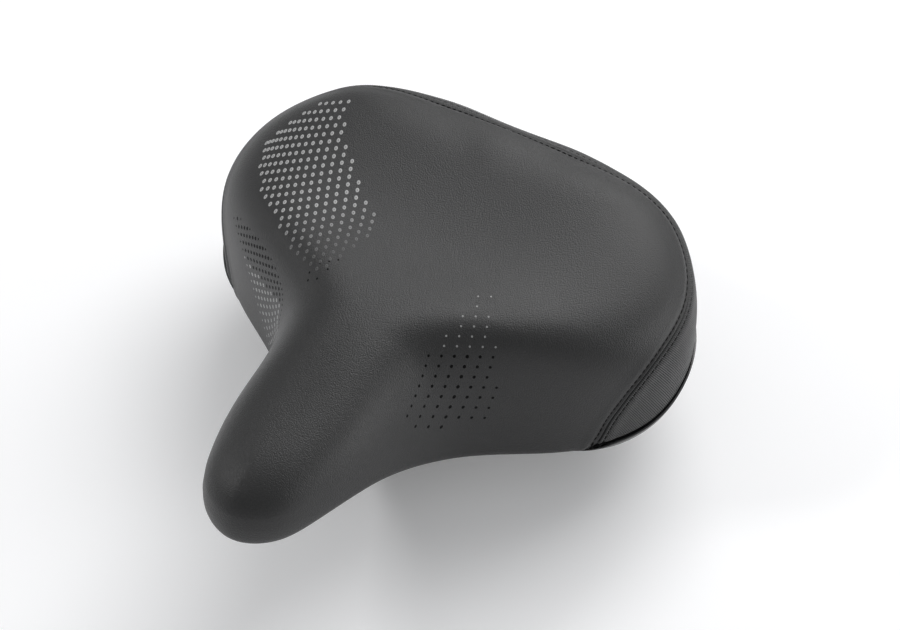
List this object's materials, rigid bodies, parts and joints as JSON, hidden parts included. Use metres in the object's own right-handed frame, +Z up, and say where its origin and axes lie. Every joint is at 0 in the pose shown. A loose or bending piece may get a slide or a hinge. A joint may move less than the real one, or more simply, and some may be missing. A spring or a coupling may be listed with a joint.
{
  "type": "bicycle saddle",
  "caption": "Wide sprung comfort bicycle saddle: padded cover over a plastic base, hinged on a wire rail frame at the nose and carried by coil springs at the back.",
  "frame": {"origin": "bottom centre of the bounding box: on the plane of the rails' undersides, midway between nose and back", "axes": "-Y towards the nose, +Y towards the back, +Z up, +X to the left of a rider who faces the nose"},
  "size_m": [0.2384, 0.2666, 0.1109],
  "materials": {
    "pu_cover": "matte fine-grained synthetic leather with printed dots",
    "ribbed_panel": "matte synthetic leather with fine ribs",
    "thread": "black sewing thread",
    "foam": "moulded polyurethane foam",
    "shell_plastic": "black moulded polypropylene",
    "gloss_plastic": "glossy black moulding",
    "black_steel": "satin black coated steel",
    "spring_steel": "black coated spring steel",
    "zinc_steel": "zinc-plated steel"
  },
  "bodies": {
    "undercarriage": {"rail_wire": "black_steel", "spring_bridge": "black_steel", "lower_spring_seat_left": "zinc_steel", "lower_spring_washer_left": "zinc_steel", "lower_spring_nut_left": "zinc_steel", "lower_spring_bolt_left": "zinc_steel", "coil_spring_left": "spring_steel", "lower_spring_seat_right": "zinc_steel", "lower_spring_washer_right": "zinc_steel", "lower_spring_nut_right": "zinc_steel", "lower_spring_bolt_right": "zinc_steel", "coil_spring_right": "spring_steel"},
    "saddle_top": {"top_cover": "pu_cover", "rear_panel": "ribbed_panel", "seam_thread": "thread", "foam_pad": "foam", "base_shell": "shell_plastic", "rear_bumper": "gloss_plastic", "bumper_screw_1": "zinc_steel", "bumper_screw_2": "zinc_steel", "bumper_screw_3": "zinc_steel", "bumper_screw_4": "zinc_steel", "nose_bracket": "black_steel", "nose_screw_front": "zinc_steel", "nose_screw_rear": "zinc_steel", "upper_spring_seat_left": "zinc_steel", "upper_spring_bolt_left": "zinc_steel", "threaded_insert_left": "zinc_steel", "upper_spring_seat_right": "zinc_steel", "upper_spring_bolt_right": "zinc_steel", "threaded_insert_right": "zinc_steel"}
  },
  "joints": [
    {"name": "saddle_flex", "type": "hinge", "parent": "undercarriage", "child": "saddle_top", "pos_m": [0, -0.098, 0.068], "axis": [-1, 0, 0], "range_deg": [0, 5.5], "stiffness_Nm_per_rad": 2000, "deforming": ["coil_spring_left", "coil_spring_right"]}
  ]
}
